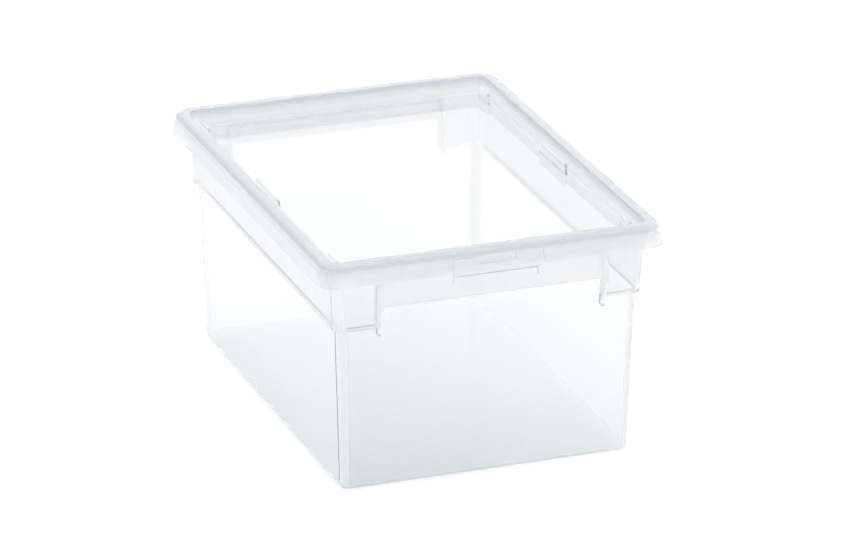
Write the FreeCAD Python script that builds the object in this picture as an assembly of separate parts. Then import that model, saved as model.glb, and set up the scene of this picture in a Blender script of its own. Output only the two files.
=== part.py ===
"""Lidded stackable storage bin: a tapered tub, a recessed lid and the lid's two snap tongues.

Units are millimetres. +Z is up, the long sides run along Y, the short sides (with the hand grips
and the snap tongues) face -Y and +Y. The origin is the centre of the underside of the base.
"""
import FreeCAD
import Part
import os

V = FreeCAD.Vector

# ---- overall size -------------------------------------------------------------------------
WIDTH = 288.0             # across the lid skirt, along X
LENGTH = 395.2            # across the lid skirt, along Y
HEIGHT = 197.5            # base underside to the lid's crest
STRETCH = (LENGTH - WIDTH) / 2.0   # every plan outline is this much longer than it is wide

# ---- tub ----------------------------------------------------------------------------------
WALL = 1.8
FLOOR = 2.0
BASE_HALF = 121.4         # half width of the base
NECK_Z = 137.6            # underside of the stepped-out shoulder
NECK_HALF = 126.0         # half width of the wall just under the shoulder
BASE_EDGE_R = 3.5
CORNER_R = 8.0            # plan radius of the tub's corners at the base
CORNER_R_TOP = 9.5
SHOULDER_HALF = 128.9     # half width of the shoulder at its underside
WALL_TOP_Z = 184.0        # where the wall starts to flare into the rim
WALL_TOP_HALF = 131.8
RIM_IN_HALF = 133.0       # inner edge of the rim's flat top
HEM_Z = 184.0             # bottom of the rim's turned-down hem
HEM_T = 1.5
RIM_GAP = 0.7             # rim inside the lid's skirt, sideways
TOP_GAP = 0.3             # rim under the lid's crest

# ---- hand grips on the short sides ----------------------------------------------------------
GRIP_HALF = 92.8          # half length of the grip, between the gussets' inner faces
GRIP_TOP_Z = 178.0        # the wall steps out to the shoulder line above this height
GRIP_DEPTH = 24.0         # how far in from the plain wall the grip's cut reaches
CURTAIN_Z = 158.9         # bottom of the grip's curtain
CURTAIN_DRAFT = 0.6       # the curtain leans in this much towards its bottom
GUSSET_T = 1.8
GUSSET_TIP_Z = 156.0      # below this the gusset's outer edge slopes back to the wall
GUSSET_FOOT_Z = 131.5
GUSSET_FOOT_OUT = 187.0   # |Y| of the gusset's lower outer corner
GUSSET_TOE_IN = 2.0       # chamfer at the foot, inwards
GUSSET_TOE_UP = 2.5       # chamfer at the foot, upwards
GUSSET_ROOT = 178.5       # |Y| of the gusset's hidden root, inside the wall's thickness

# ---- ribs and catch behind each snap tongue -------------------------------------------------
RIB_X = 35.4
RIB_W = 1.4
RIB_OUT = 1.4             # how far a rib's foot stands off the curtain
RIB_TOP_OUT = 0.5         # and its top, behind the tongue
RIB_Z = 170.6
RIB_TOP_Z = 183.0
RIB_TOE = 1.0             # chamfer at the rib's foot
CATCH_HALF = 27.0
CATCH_OUT = 0.75
CATCH_LOW_Z = 180.8
CATCH_FACE_Z = 181.8      # top of the bead's upright face
CATCH_HIGH_Z = 183.6
CATCH_FADE = 0.3          # what is left of the bead above its root at its top

# ---- lid ----------------------------------------------------------------------------------
LID_T = 1.6
CREST_IN_HALF = 130.1     # inner edge of the crest
CREST_EDGE_R = 1.2
ROLL_R = 5.2              # radius where the crest rolls over into the skirt
SKIRT_Z = 180.0
SKIRT_HALF = WIDTH / 2.0
SKIRT_DRAFT = 2.9         # how much narrower the skirt would be at the crest's height
LID_R = 16.0              # plan radius of the skirt's corners
RECESS_R = 8.0            # plan radius of the recess's corners
PANEL_Z = 183.3           # top face of the recessed panel
PANEL_HALF = 127.2        # half width of the panel at the foot of the recess wall
LUG_IN = 121.8            # inner face of the stacking lugs
LUG_T = 2.0
LUG_R = 3.0
LUG_Z = 192.4
LUG_MID_HALF = 29.0
LUG_END_Y = 159.5
LUG_END_HALF = 10.5

# ---- snap tongues -------------------------------------------------------------------------
TONGUE_HALF = 36.6
TONGUE_Z = 177.6
TONGUE_TOP_Z = 191.3
TONGUE_R = 3.0            # radius of the tongue's lower corners
NOTCH_TOP_Z = 191.8       # top of the skirt's cut-out
NOTCH_TOP_HALF = 38.2
NOTCH_LOW_HALF = 40.8
NOTCH_DEPTH = 4.8         # how far in from the skirt's lower edge the cut-out reaches
SLOT_HALF = 16.0
SLOT_Z = 185.9            # bottom of the tongue's flexing slot
HOOK_HALF = 33.5
HOOK_IN = 194.85          # |Y| of the hook's inner face
HOOK_Z = 180.2
HOOK_LEAD_IN = 0.8        # lead-in chamfer under the hook
HOOK_LEAD_UP = 1.0
LIP_OUT = 0.5             # how far the tongue's lower lip stands out of its face
LIP_START_Z = 181.2       # the lip swells out below this height
LIP_Z = 179.8             # height of the lip's outermost line
LIP_LOW_Z = 178.2
LIP_ROUND = 0.4

# ---- modelling aids -----------------------------------------------------------------------
FAR = 400.0               # longer than the object, for cutting boxes
OVER = 1.0                # how far a cutting form runs past the face it cuts
TOL = 0.01
EDGE_TOL = 0.1


def outline(half, radius, z):
    """Rounded rectangle in plan; its half length is the half width plus STRETCH."""
    x, y = half, half + STRETCH
    k = radius * (1.0 - 0.5 ** 0.5)
    r = radius
    edges = []
    for sx, sy in ((1, 1), (-1, 1), (-1, -1), (1, -1)):
        side = V(sx * x, sy * (y - r), z)
        end = V(sx * (x - r), sy * y, z)
        mid = V(sx * (x - k), sy * (y - k), z)
        if sx * sy > 0:
            edges.append(Part.Arc(side, mid, end).toShape())
        else:
            edges.append(Part.Arc(end, mid, side).toShape())
    joined = []
    for i, arc in enumerate(edges):
        following = edges[(i + 1) % len(edges)]
        start = arc.lastVertex(True).Point
        joined.append(arc)
        joined.append(Part.makeLine(start, following.firstVertex(True).Point))
    return Part.Wire(joined)


def frustum(levels):
    """Solid through rounded rectangles given as (half width, corner radius, height)."""
    parts = []
    for low, high in zip(levels, levels[1:]):
        parts.append(Part.makeLoft([outline(*low), outline(*high)], True, True))
    solid = parts[0]
    for extra in parts[1:]:
        solid = solid.fuse(extra)
    return solid


def box(x0, x1, y0, y1, z0, z1):
    """Box between two corners."""
    return Part.makeBox(x1 - x0, y1 - y0, z1 - z0, V(x0, y0, z0))


def both_ends(shape):
    """The shape at the -Y end together with its mirror image at the +Y end."""
    return shape.fuse(shape.mirror(V(0, 0, 0), V(0, 1, 0)))


def four_ways(shape):
    """The shape and its mirror images about both middle planes."""
    pair = shape.fuse(shape.mirror(V(0, 0, 0), V(1, 0, 0)))
    return both_ends(pair)


def between(z, z0, a0, z1, a1):
    """Value at height z on the straight line from (z0, a0) to (z1, a1)."""
    return a0 + (a1 - a0) * (z - z0) / (z1 - z0)


def lower_half(z):
    """Half width of the tub's plain outer wall at height z."""
    return between(z, 0.0, BASE_HALF, NECK_Z, NECK_HALF)


def shoulder_half(z):
    """Half width of the stepped-out upper wall at height z."""
    return between(z, NECK_Z, SHOULDER_HALF, WALL_TOP_Z, WALL_TOP_HALF)


def skirt_half(z):
    """Half width of the lid skirt's outer face at height z."""
    return between(z, SKIRT_Z, SKIRT_HALF, HEIGHT, SKIRT_HALF - SKIRT_DRAFT)


def curtain_half(z):
    """Half width of the grip curtain's outer face at height z."""
    hem = skirt_half(HEM_Z) - LID_T - RIM_GAP
    return between(z, HEM_Z, hem, CURTAIN_Z, hem - CURTAIN_DRAFT)


def grip_zone(half_length, z0, z1):
    """Boxes covering the middle of both short walls between two heights."""
    inner = NECK_HALF + STRETCH - GRIP_DEPTH
    return both_ends(box(-half_length, half_length, -FAR, -inner, z0, z1))


def tub_outer():
    """Outer form of the wall: plain below, shouldered above except behind the grips."""
    plain = frustum([(lower_half(0), CORNER_R, 0.0), (lower_half(WALL_TOP_Z), CORNER_R_TOP, WALL_TOP_Z)])
    foot = [e for e in plain.Edges if e.BoundBox.ZMax < TOL]
    plain = plain.makeFillet(BASE_EDGE_R, foot)
    rim_z = HEIGHT - LID_T - TOP_GAP
    shoulder = frustum([
        (SHOULDER_HALF, CORNER_R_TOP, NECK_Z),
        (WALL_TOP_HALF, CORNER_R_TOP, WALL_TOP_Z),
        (RIM_IN_HALF + WALL, CORNER_R_TOP + WALL, rim_z - HEM_T),
    ])
    shoulder = shoulder.cut(grip_zone(GRIP_HALF, NECK_Z - OVER, GRIP_TOP_Z))
    return plain.fuse(shoulder)


def tub_inner():
    """The space inside the tub, open at the top."""
    plain = frustum([
        (lower_half(FLOOR) - WALL, CORNER_R - WALL, FLOOR),
        (lower_half(WALL_TOP_Z) - WALL, CORNER_R_TOP - WALL, WALL_TOP_Z),
    ])
    foot = [e for e in plain.Edges if e.BoundBox.ZMax < FLOOR + TOL]
    plain = plain.makeFillet(BASE_EDGE_R - WALL, foot)
    ledge_z = NECK_Z + WALL
    shoulder = frustum([
        (shoulder_half(ledge_z) - WALL, CORNER_R_TOP - WALL, ledge_z),
        (WALL_TOP_HALF - WALL, CORNER_R_TOP - WALL, WALL_TOP_Z),
        (RIM_IN_HALF, CORNER_R_TOP, HEIGHT - LID_T - TOP_GAP),
        (RIM_IN_HALF, CORNER_R_TOP, HEIGHT),
    ])
    shoulder = shoulder.cut(grip_zone(GRIP_HALF + WALL, NECK_Z, GRIP_TOP_Z + WALL))
    return plain.fuse(shoulder)


def crest_form(inset, drop, bottom_z):
    """The lid's outer form shrunk by inset, lowered by drop and cut off at bottom_z."""
    top_z = HEIGHT - drop
    form = frustum([
        (skirt_half(bottom_z) - inset, LID_R - inset, bottom_z),
        (skirt_half(HEIGHT) - inset, LID_R - inset, top_z),
    ])
    rim = [e for e in form.Edges if e.BoundBox.ZMin > top_z - TOL]
    return form.makeFillet(ROLL_R - inset, rim)


def rim_shell():
    """Hooked rim nested in the lid's channel: flat top, rounded shoulder and hem."""
    inset = LID_T + RIM_GAP
    drop = LID_T + TOP_GAP
    outer = crest_form(inset, drop, HEM_Z)
    hollow = crest_form(inset + HEM_T, drop + HEM_T, HEM_Z)
    return outer.cut(hollow)


def curtain():
    """The hem carried down between the gussets to make a grip on each short side."""
    corner = LID_R - LID_T - RIM_GAP
    outer = frustum([(curtain_half(CURTAIN_Z), corner, CURTAIN_Z), (curtain_half(HEM_Z), corner, HEM_Z)])
    hollow = frustum([
        (curtain_half(CURTAIN_Z) - HEM_T, corner, CURTAIN_Z),
        (curtain_half(HEM_Z) - HEM_T, corner, HEM_Z),
    ])
    ring = outer.cut(hollow)
    return ring.common(grip_zone(GRIP_HALF + GUSSET_T, CURTAIN_Z, HEM_Z))


def gusset():
    """Bracket at one end of a grip, from the wall out to the curtain."""
    tip = curtain_half(CURTAIN_Z) + STRETCH
    top_z = HEIGHT - LID_T - TOP_GAP - HEM_T / 2.0
    points = [
        V(GRIP_HALF, -GUSSET_ROOT, GUSSET_FOOT_Z),
        V(GRIP_HALF, -GUSSET_FOOT_OUT + GUSSET_TOE_IN, GUSSET_FOOT_Z),
        V(GRIP_HALF, -GUSSET_FOOT_OUT, GUSSET_FOOT_Z + GUSSET_TOE_UP),
        V(GRIP_HALF, -tip, GUSSET_TIP_Z),
        V(GRIP_HALF, -tip, top_z),
        V(GRIP_HALF, -GUSSET_ROOT, top_z),
    ]
    plate = Part.Face(Part.makePolygon(points + [points[0]])).extrude(V(GUSSET_T, 0, 0))
    envelope = crest_form(LID_T + RIM_GAP, LID_T + TOP_GAP, GUSSET_FOOT_Z - OVER)
    return plate.common(envelope)


def tongue_rib():
    """Upright rib on the curtain behind one end of a tongue, standing out more at its foot."""
    face_y = curtain_half(RIB_Z) + STRETCH
    root = face_y - HEM_T / 2.0
    points = [
        V(0, -root, RIB_Z),
        V(0, -face_y - RIB_OUT + RIB_TOE, RIB_Z),
        V(0, -face_y - RIB_OUT, RIB_Z + RIB_TOE),
        V(0, -curtain_half(RIB_TOP_Z) - STRETCH - RIB_TOP_OUT, RIB_TOP_Z),
        V(0, -root, RIB_TOP_Z),
    ]
    rib = Part.Face(Part.makePolygon(points + [points[0]])).extrude(V(RIB_W, 0, 0))
    rib.translate(V(RIB_X - RIB_W / 2.0, 0, 0))
    return rib


def catch_bead():
    """Bead on the curtain that a tongue's hook snaps under."""
    root = curtain_half(CATCH_LOW_Z) + STRETCH - HEM_T / 2.0
    tip = curtain_half(CATCH_LOW_Z) + STRETCH + CATCH_OUT
    points = [
        V(-CATCH_HALF, -root, CATCH_LOW_Z),
        V(-CATCH_HALF, -tip, CATCH_LOW_Z),
        V(-CATCH_HALF, -tip, CATCH_FACE_Z),
        V(-CATCH_HALF, -root - CATCH_FADE, CATCH_HIGH_Z),
        V(-CATCH_HALF, -root, CATCH_HIGH_Z),
    ]
    face = Part.Face(Part.makePolygon(points + [points[0]]))
    return face.extrude(V(2.0 * CATCH_HALF, 0, 0))


def make_tub():
    """Tub with its shoulder, rim, hand grips, gussets, ribs and catch beads, all one moulding."""
    solid = tub_outer().fuse(rim_shell()).fuse(curtain())
    solid = solid.fuse(four_ways(gusset()))
    solid = solid.fuse(four_ways(tongue_rib()))
    solid = solid.fuse(both_ends(catch_bead()))
    return solid.cut(tub_inner()).removeSplitter()


def lid_shell():
    """Lid without its tongues' cut-outs: skirt, crest, recess wall and panel."""
    recess = frustum([
        (PANEL_HALF, RECESS_R, PANEL_Z),
        (CREST_IN_HALF, RECESS_R, HEIGHT),
        (CREST_IN_HALF, RECESS_R, HEIGHT + OVER),
    ])
    plug = frustum([
        (PANEL_HALF + LID_T, RECESS_R + LID_T, PANEL_Z - LID_T),
        (CREST_IN_HALF + LID_T, RECESS_R + LID_T, HEIGHT - LID_T),
    ])
    channel = crest_form(LID_T, LID_T, SKIRT_Z).cut(plug)
    shell = crest_form(0.0, 0.0, SKIRT_Z).cut(channel).cut(recess)
    edge = [
        e for e in shell.Edges
        if e.BoundBox.ZMin > HEIGHT - TOL
        and max(abs(e.BoundBox.XMin), abs(e.BoundBox.XMax)) < CREST_IN_HALF + EDGE_TOL
    ]
    return shell.makeFillet(CREST_EDGE_R, edge)


def tongue_notch():
    """Cut-out in the skirt for one tongue, its sides leaning outwards."""
    y = -FAR
    points = [
        V(-NOTCH_LOW_HALF, y, SKIRT_Z - OVER),
        V(NOTCH_LOW_HALF, y, SKIRT_Z - OVER),
        V(NOTCH_TOP_HALF, y, NOTCH_TOP_Z),
        V(-NOTCH_TOP_HALF, y, NOTCH_TOP_Z),
    ]
    face = Part.Face(Part.makePolygon(points + [points[0]]))
    depth = FAR - (SKIRT_HALF + STRETCH - NOTCH_DEPTH)
    return face.extrude(V(0, depth, 0))


def lug(x_in, y0, y1):
    """Upright stacking lug on the lid's panel with rounded upper ends."""
    rib = box(x_in, x_in + LUG_T, y0, y1, PANEL_Z - LID_T / 2.0, LUG_Z)
    ends = [e for e in rib.Edges if e.BoundBox.ZMin > LUG_Z - TOL and e.BoundBox.YLength < TOL]
    return rib.makeFillet(LUG_R, ends)


def make_lid():
    """Lid with its stacking lugs and the two tongue cut-outs."""
    solid = lid_shell().cut(both_ends(tongue_notch()))
    middle = lug(LUG_IN, -LUG_MID_HALF, LUG_MID_HALF)
    solid = solid.fuse(middle).fuse(middle.mirror(V(0, 0, 0), V(1, 0, 0)))
    corner = lug(LUG_IN, -LUG_END_Y - LUG_END_HALF, -LUG_END_Y + LUG_END_HALF)
    return solid.fuse(four_ways(corner)).removeSplitter()


def tongue_plate():
    """Plate of the -Y tongue: the skirt's wall carried down, with a lip swelling out below."""
    low = skirt_half(TONGUE_Z) + STRETCH
    lip = skirt_half(LIP_Z) + STRETCH + LIP_OUT
    top = skirt_half(TONGUE_TOP_Z) + STRETCH
    points = [
        V(0, -top, TONGUE_TOP_Z),
        V(0, -skirt_half(LIP_START_Z) - STRETCH, LIP_START_Z),
        V(0, -lip, LIP_Z),
        V(0, -low - LIP_OUT / 2.0, LIP_LOW_Z),
        V(0, -low + LIP_ROUND, TONGUE_Z),
        V(0, -low + LID_T, TONGUE_Z),
        V(0, -top + LID_T, TONGUE_TOP_Z),
    ]
    plate = Part.Face(Part.makePolygon(points + [points[0]])).extrude(V(2.0 * TONGUE_HALF, 0, 0))
    plate.translate(V(-TONGUE_HALF, 0, 0))
    return plate


def tongue_hook():
    """Hook along the lower inner side of the -Y tongue, between the tub's two ribs."""
    root = skirt_half(TONGUE_Z) + STRETCH - LID_T / 2.0
    points = [
        V(0, -root, TONGUE_Z),
        V(0, -HOOK_IN - HOOK_LEAD_IN, TONGUE_Z),
        V(0, -HOOK_IN, TONGUE_Z + HOOK_LEAD_UP),
        V(0, -HOOK_IN, HOOK_Z),
        V(0, -root, HOOK_Z),
    ]
    hook = Part.Face(Part.makePolygon(points + [points[0]])).extrude(V(2.0 * HOOK_HALF, 0, 0))
    hook.translate(V(-HOOK_HALF, 0, 0))
    return hook


def make_tongue():
    """Snap tongue at the -Y end: two legs round a flexing slot, and a hooked lower lip."""
    blank = tongue_plate().fuse(tongue_hook())
    front = box(-TONGUE_HALF, TONGUE_HALF, -FAR, -HOOK_IN + OVER, TONGUE_Z, TONGUE_TOP_Z)
    corners = [
        e for e in front.Edges
        if e.BoundBox.ZMax < TONGUE_Z + TOL and e.BoundBox.XLength < TOL
    ]
    front = front.makeFillet(TONGUE_R, corners)
    slot = box(-SLOT_HALF, SLOT_HALF, -FAR, 0.0, SLOT_Z, TONGUE_TOP_Z + OVER)
    return blank.common(front).cut(slot).removeSplitter()


def main():
    """Write one STEP file for each of the four pieces."""
    os.makedirs("parts", exist_ok=True)
    tongue = make_tongue()
    nodes = {
        "tub": make_tub(),
        "lid": make_lid(),
        "front_snap_tongue": tongue,
        "rear_snap_tongue": tongue.mirror(V(0, 0, 0), V(0, 1, 0)),
    }
    for name, shape in nodes.items():
        shape.Solids[0].exportStep("parts/" + name + ".step")


main()
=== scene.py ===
"""Looks of the lidded stackable storage bin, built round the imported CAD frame."""
import bpy
import math
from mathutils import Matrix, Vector

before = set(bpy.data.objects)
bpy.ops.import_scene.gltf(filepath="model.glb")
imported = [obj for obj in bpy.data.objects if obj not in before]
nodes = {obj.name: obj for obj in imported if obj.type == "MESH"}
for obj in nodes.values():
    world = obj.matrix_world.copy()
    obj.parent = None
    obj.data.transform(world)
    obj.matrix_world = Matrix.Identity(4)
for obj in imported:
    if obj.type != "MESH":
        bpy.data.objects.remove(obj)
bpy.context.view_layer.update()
scene = bpy.context.scene


# ---- materials ----------------------------------------------------------------------------
def new_material(name):
    material = bpy.data.materials.new(name)
    material.use_nodes = True
    material.node_tree.nodes.clear()
    return material


def node(tree, kind, **inputs):
    """New shader node with some of its inputs set; underscores in names stand for spaces."""
    made = tree.nodes.new(kind)
    for key, value in inputs.items():
        made.inputs[key.replace("_", " ")].default_value = value
    return made


def grey(value):
    return (value, value, value, 1.0)


def ramp(tree, source, stops):
    """Grey or coloured values blended along a 0..1 input."""
    made = tree.nodes.new("ShaderNodeValToRGB")
    elements = made.color_ramp.elements
    while len(elements) < len(stops):
        elements.new(0.5)
    for element, (place, value) in zip(elements, stops):
        element.position = place
        element.color = value if isinstance(value, tuple) else grey(value)
    tree.links.new(source, made.inputs["Fac"])
    return made


def maths(tree, operation, first, second):
    """Result of a two-input sum, where either input is a socket or a number."""
    made = tree.nodes.new("ShaderNodeMath")
    made.operation = operation
    for socket, value in zip(made.inputs, (first, second)):
        if isinstance(value, float):
            socket.default_value = value
        else:
            tree.links.new(value, socket)
    return made.outputs[0]


def step(tree, source, start, end):
    """0 at start, 1 at end and beyond it."""
    made = node(tree, "ShaderNodeMapRange", From_Min=start, From_Max=end)
    tree.links.new(source, made.inputs["Value"])
    return made.outputs["Result"]


def plan_half(tree, place):
    """Half width of the rounded plan outline through a point."""
    across_x = maths(tree, "ABSOLUTE", place.outputs["X"], 0.0)
    along_y = maths(tree, "SUBTRACT", maths(tree, "ABSOLUTE", place.outputs["Y"], 0.0), STRETCH)
    return maths(tree, "MAXIMUM", across_x, along_y)


def floor_plate(tree, place):
    return step(tree, place.outputs["Z"], BASE_TOP + MASK_BLEND, BASE_TOP)


def shoulder(tree, place):
    """The stepped-out band, its curtains and the rim, but not the plain wall inside the grips."""
    leaning = maths(tree, "MULTIPLY", place.outputs["Z"], WALL_LEAN)
    out = maths(tree, "SUBTRACT", plan_half(tree, place), leaning)
    return maths(tree, "MULTIPLY", step(tree, place.outputs["Z"], NECK_Z - MASK_BLEND, NECK_Z),
                 step(tree, out, NECK_OUT, NECK_OUT + MASK_FINE))


def recessed_panel(tree, place):
    return maths(tree, "MULTIPLY", step(tree, place.outputs["Z"], PANEL_Z + MASK_BLEND, PANEL_Z),
                 step(tree, plan_half(tree, place), PANEL_HALF + MASK_BLEND, PANEL_HALF))


def edges(tree, coords, amount):
    """Extra haze where the surface turns a rounded edge or corner."""
    facing = tree.nodes.new("ShaderNodeVectorMath")
    facing.operation = "ABSOLUTE"
    tree.links.new(coords.outputs["Normal"], facing.inputs[0])
    parts = tree.nodes.new("ShaderNodeSeparateXYZ")
    tree.links.new(facing.outputs[0], parts.inputs[0])
    most = parts.outputs["X"]
    for axis in ("Y", "Z"):
        most = maths(tree, "MAXIMUM", most, parts.outputs[axis])
    made = node(tree, "ShaderNodeMapRange", From_Min=0.9993, From_Max=0.965, To_Max=amount)
    tree.links.new(most, made.inputs["Value"])
    return made.outputs["Result"]


def shaded_undersides(tree, coords, place, top):
    """1 on the narrow faces that look straight down, between the floor plate and a height; these
    faces get painted shade.
    """
    facing = tree.nodes.new("ShaderNodeSeparateXYZ")
    tree.links.new(coords.outputs["Normal"], facing.inputs[0])
    down = step(tree, facing.outputs["Z"], -0.35, -0.75)
    under = step(tree, place.outputs["Z"], top + MASK_BLEND, top)
    over = step(tree, place.outputs["Z"], BASE_TOP, BASE_TOP + MASK_BLEND)
    return maths(tree, "MULTIPLY", down, maths(tree, "MULTIPLY", under, over))


def blend_colour(tree, mask, first, second):
    """Colour or socket first where the mask is 0, colour second where it is 1."""
    made = node(tree, "ShaderNodeMixRGB", Color2=second)
    tree.links.new(mask, made.inputs["Fac"])
    if isinstance(first, tuple):
        made.inputs["Color1"].default_value = first
    else:
        tree.links.new(first, made.inputs["Color1"])
    return made.outputs["Color"]


def tint_and_shade_across_plan(tree, coords, stops):
    """Colours blended over the plan, from the front left corner to the back right one; on the
    tub's floor plate they are painted shade, darker at the front left.
    """
    along = tree.nodes.new("ShaderNodeVectorMath")
    along.operation = "DOT_PRODUCT"
    along.inputs[1].default_value = (1.6, 1.0, 0.0)
    tree.links.new(coords.outputs["Object"], along.inputs[0])
    reach = node(tree, "ShaderNodeMapRange", From_Min=-0.37, From_Max=0.37)
    tree.links.new(along.outputs["Value"], reach.inputs["Value"])
    return ramp(tree, reach.outputs["Result"], stops).outputs["Color"]


def polypropylene(name, haze_stops, tint_and_shade_stops, rough, haze_colour, edge_haze, lip_top,
                  band=None, flat=None):
    """Clear moulded plastic. Haze changes with height above the base. The colour stops paint shade
    into the plastic: darker toward the tub's base and on the lid's crest. band gives the mask and
    haze of a frosted band, flat the mask, haze, roughness and colour of a floor or panel, the
    tub's floor plate colour being painted shade."""
    material = new_material(name)
    tree = material.node_tree
    link = tree.links.new
    out = tree.nodes.new("ShaderNodeOutputMaterial")
    coords = tree.nodes.new("ShaderNodeTexCoord")
    place = tree.nodes.new("ShaderNodeSeparateXYZ")
    link(coords.outputs["Object"], place.inputs["Vector"])
    level = node(tree, "ShaderNodeMapRange", From_Min=0.0, From_Max=0.2)
    link(place.outputs["Z"], level.inputs["Value"])
    flow = node(tree, "ShaderNodeTexNoise", Scale=16.0, Detail=4.0, Roughness=0.55)
    grain = node(tree, "ShaderNodeTexNoise", Scale=700.0, Detail=2.0)
    link(coords.outputs["Object"], flow.inputs["Vector"])
    link(coords.outputs["Object"], grain.inputs["Vector"])
    rough_map = node(tree, "ShaderNodeMapRange", To_Min=rough * 0.6, To_Max=rough * 1.5)
    link(flow.outputs["Fac"], rough_map.inputs["Value"])
    bump = node(tree, "ShaderNodeBump", Strength=0.05, Distance=0.0003)
    link(grain.outputs["Fac"], bump.inputs["Height"])
    # Colour by height, which paints shade: darker toward the tub's base and on the lid's crest.
    tint_and_shade = ramp(tree, level.outputs["Result"], tint_and_shade_stops).outputs["Color"]
    haze_and_shade_level = ramp(tree, level.outputs["Result"], haze_stops).outputs["Color"]
    roughness = rough_map.outputs["Result"]
    cloud = node(tree, "ShaderNodeMapRange", To_Min=0.8, To_Max=1.2)
    link(flow.outputs["Fac"], cloud.inputs["Value"])
    if band:
        where, band_haze = band
        both = node(tree, "ShaderNodeMapRange", To_Max=band_haze)
        link(where(tree, place), both.inputs["Value"])
        link(haze_and_shade_level, both.inputs["To Min"])
        haze_and_shade_level = both.outputs["Result"]
    if flat:
        where, flat_haze, flat_rough, flat_tint_and_shade_stops = flat
        mask = where(tree, place)
        picked = []
        for wall_value, flat_value in ((haze_and_shade_level, flat_haze), (roughness, flat_rough)):
            both = node(tree, "ShaderNodeMapRange", To_Max=flat_value)
            link(mask, both.inputs["Value"])
            link(wall_value, both.inputs["To Min"])
            picked.append(both.outputs["Result"])
        haze_and_shade_level, roughness = picked
        # On the tub's floor plate this blended colour is painted shade.
        both = tree.nodes.new("ShaderNodeMixRGB")
        link(mask, both.inputs["Fac"])
        link(tint_and_shade, both.inputs["Color1"])
        link(tint_and_shade_across_plan(tree, coords, flat_tint_and_shade_stops), both.inputs["Color2"])
        tint_and_shade = both.outputs["Color"]
    haze_and_shade_level = maths(tree, "MULTIPLY", haze_and_shade_level, cloud.outputs["Result"])
    at_edge = edges(tree, coords, 1.0)
    # Down-facing narrow faces get painted shade: a heavy layer of dark milky colour.
    lip_shade = shaded_undersides(tree, coords, place, lip_top)
    for mask, level_there in ((at_edge, edge_haze), (lip_shade, LIP_SHADE_WEIGHT)):
        haze_and_shade_level = maths(tree, "MAXIMUM", haze_and_shade_level, maths(tree, "MULTIPLY", mask, level_there))
    milky_and_shade = blend_colour(tree, at_edge, haze_colour, EDGE_COLOUR)
    milky_and_shade = blend_colour(tree, lip_shade, milky_and_shade, LIP_PAINTED_SHADE)
    glass = node(tree, "ShaderNodeBsdfPrincipled", IOR=1.49)
    glass.inputs["Transmission Weight"].default_value = 1.0
    link(tint_and_shade, glass.inputs["Base Color"])
    link(roughness, glass.inputs["Roughness"])
    link(bump.outputs["Normal"], glass.inputs["Normal"])
    haze = node(tree, "ShaderNodeBsdfPrincipled", Roughness=0.35)
    link(milky_and_shade, haze.inputs["Base Color"])
    link(bump.outputs["Normal"], haze.inputs["Normal"])
    through = tree.nodes.new("ShaderNodeBsdfTranslucent")
    link(milky_and_shade, through.inputs["Color"])
    milk = node(tree, "ShaderNodeMixShader", Fac=0.5)
    link(haze.outputs[0], milk.inputs[1])
    link(through.outputs[0], milk.inputs[2])
    wall = tree.nodes.new("ShaderNodeMixShader")
    link(haze_and_shade_level, wall.inputs[0])
    link(glass.outputs[0], wall.inputs[1])
    link(milk.outputs[0], wall.inputs[2])
    rays = tree.nodes.new("ShaderNodeLightPath")
    clear = tree.nodes.new("ShaderNodeBsdfTransparent")
    per_face = node(tree, "ShaderNodeGamma", Gamma=0.5)
    link(tint_and_shade, per_face.inputs["Color"])
    link(per_face.outputs["Color"], clear.inputs["Color"])
    shader = wall
    for kind in ("Is Shadow Ray", "Is Diffuse Ray"):
        mix = tree.nodes.new("ShaderNodeMixShader")
        link(rays.outputs[kind], mix.inputs[0])
        link(shader.outputs[0], mix.inputs[1])
        link(clear.outputs[0], mix.inputs[2])
        shader = mix
    link(shader.outputs[0], out.inputs["Surface"])
    return material


MASK_BLEND = 0.0015
MASK_FINE = 0.0004
STRETCH = 0.0536
BASE_TOP = 0.0024
NECK_Z = 0.1376
NECK_OUT = 0.1202
WALL_LEAN = 0.045
PANEL_Z = 0.1842
PANEL_HALF = 0.1262
# Weight of the painted shade on down-facing narrow faces.
LIP_SHADE_WEIGHT = 0.9
EDGE_COLOUR = (0.91, 0.915, 0.92, 1.0)
# Dark colour of the painted shade on down-facing narrow faces.
LIP_PAINTED_SHADE = (0.14, 0.16, 0.19, 1.0)
HAZE = (0.86, 0.86, 0.88, 1.0)
LID_HAZE = (0.90, 0.91, 0.93, 1.0)
PALE = (0.98, 0.983, 0.985, 1.0)
# Painted shade: darker tub colour toward its base.
FAINT_BASE_SHADE = (0.955, 0.962, 0.965, 1.0)
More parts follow.
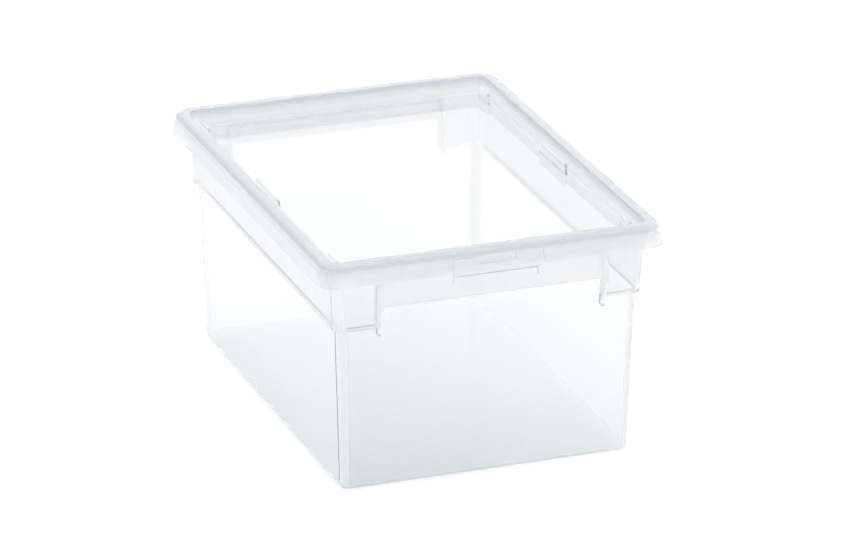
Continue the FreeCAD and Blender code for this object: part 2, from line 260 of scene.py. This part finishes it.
# Painted shade: dark blue-grey colour of the lid's crest.
CREST_SHADE = (0.75, 0.78, 0.81, 1.0)
PANEL = (0.885, 0.889, 0.891, 1.0)
looks = {
    "tub": polypropylene(
        "tub_clear",
        [(0.0, 0.07), (0.35, 0.03), (1.0, 0.03)],
        # Colour stops: painted shade, darker toward the base.
        [(0.03, FAINT_BASE_SHADE), (0.30, PALE), (1.0, PALE)],
        0.03, HAZE, 0.45, 0.165, (shoulder, 0.33),
        # Floor plate: painted shade, darker toward the front left corner.
        (floor_plate, 0.05, 0.25,
         [(0.0, (0.79, 0.82, 0.84, 1.0)), (0.25, (0.83, 0.855, 0.865, 1.0)),
          (0.5, (0.885, 0.90, 0.91, 1.0)), (0.75, (0.95, 0.955, 0.96, 1.0)), (1.0, PALE)])),
    "lid": polypropylene(
        "lid_clear",
        [(0.0, 0.32), (0.94, 0.32), (0.965, 0.24)],
        # Colour stops: painted shade on the crest.
        [(0.0, PALE), (0.955, PALE), (0.975, CREST_SHADE), (1.0, CREST_SHADE)],
        0.05, LID_HAZE, 0.08, 0.182, None,
        (recessed_panel, 0.015, 0.02, [(0.0, PANEL), (1.0, PANEL)])),
    "front_snap_tongue": polypropylene(
        "tongue_clear",
        [(0.0, 0.30), (1.0, 0.30)],
        [(0.0, PALE), (1.0, PALE)],
        0.05, LID_HAZE, 0.08, 0.182),
}
looks["rear_snap_tongue"] = looks["front_snap_tongue"]
for name, material in looks.items():
    mesh = nodes[name].data
    mesh.materials.clear()
    mesh.materials.append(material)

# ---- floor --------------------------------------------------------------------------------
bpy.ops.mesh.primitive_plane_add(size=60.0, location=(0, 0, -0.0005))
floor = bpy.context.object
floor.name = "floor"
floor_material = new_material("floor_white")
tree = floor_material.node_tree
out = tree.nodes.new("ShaderNodeOutputMaterial")
paper = node(tree, "ShaderNodeBsdfDiffuse", Color=(0.94, 0.94, 0.94, 1.0))
tree.links.new(paper.outputs[0], out.inputs["Surface"])
floor.data.materials.append(floor_material)

# ---- light --------------------------------------------------------------------------------
world = bpy.data.worlds.new("studio")
world.use_nodes = True
scene.world = world
tree = world.node_tree
coords = tree.nodes.new("ShaderNodeTexCoord")
side = tree.nodes.new("ShaderNodeVectorMath")
side.operation = "DOT_PRODUCT"
side.inputs[1].default_value = (0.36, 0.30, 0.60)
sky = node(tree, "ShaderNodeMapRange", From_Min=-1.0, From_Max=1.0, To_Min=-0.37, To_Max=1.63)
tree.links.new(coords.outputs["Generated"], side.inputs[0])
tree.links.new(side.outputs["Value"], sky.inputs["Value"])
tree.links.new(sky.outputs["Result"], tree.nodes["Background"].inputs["Strength"])
tree.nodes["Background"].inputs["Color"].default_value = (1.0, 1.0, 1.0, 1.0)


def softbox(name, place, aim, width, height, power):
    """Large plain area light facing a point."""
    light = bpy.data.lights.new(name, "AREA")
    light.shape = "RECTANGLE"
    light.size = width
    light.size_y = height
    light.energy = power
    lamp = bpy.data.objects.new(name, light)
    scene.collection.objects.link(lamp)
    lamp.location = place
    lamp.visible_glossy = False
    lamp.rotation_euler = (Vector(place) - Vector(aim)).to_track_quat("Z", "Y").to_euler()


softbox("back_softbox", (0.3, 0.3, 1.8), (0.0, 0.0, 0.0), 1.4, 1.2, 6.5)
scene.view_settings.view_transform = "Standard"
scene.cycles.max_bounces = 24
scene.cycles.transmission_bounces = 24
scene.cycles.transparent_max_bounces = 32
scene.cycles.caustics_refractive = False
scene.cycles.caustics_reflective = False

# ---- camera -------------------------------------------------------------------------------
CAM_AZIMUTH = math.radians(20.06)
CAM_ELEVATION = math.radians(21.51)
CAM_DISTANCE = 4.878
CAM_SIDE = 0.0109
CAM_UP = 0.0948
CAM_SENSOR = 36.0
CAM_LENS = 251.78
back = Vector((-math.sin(CAM_AZIMUTH) * math.cos(CAM_ELEVATION),
               -math.cos(CAM_AZIMUTH) * math.cos(CAM_ELEVATION), math.sin(CAM_ELEVATION)))
right = Vector((math.cos(CAM_AZIMUTH), -math.sin(CAM_AZIMUTH), 0.0))
up = back.cross(right)
camera = bpy.data.objects.new("camera", bpy.data.cameras.new("camera"))
scene.collection.objects.link(camera)
camera.location = right * CAM_SIDE + up * CAM_UP + back * CAM_DISTANCE
camera.rotation_euler = back.to_track_quat("Z", "Y").to_euler()
camera.data.sensor_width = CAM_SENSOR
camera.data.lens = CAM_LENS
camera.data.clip_end = 100.0
scene.camera = camera
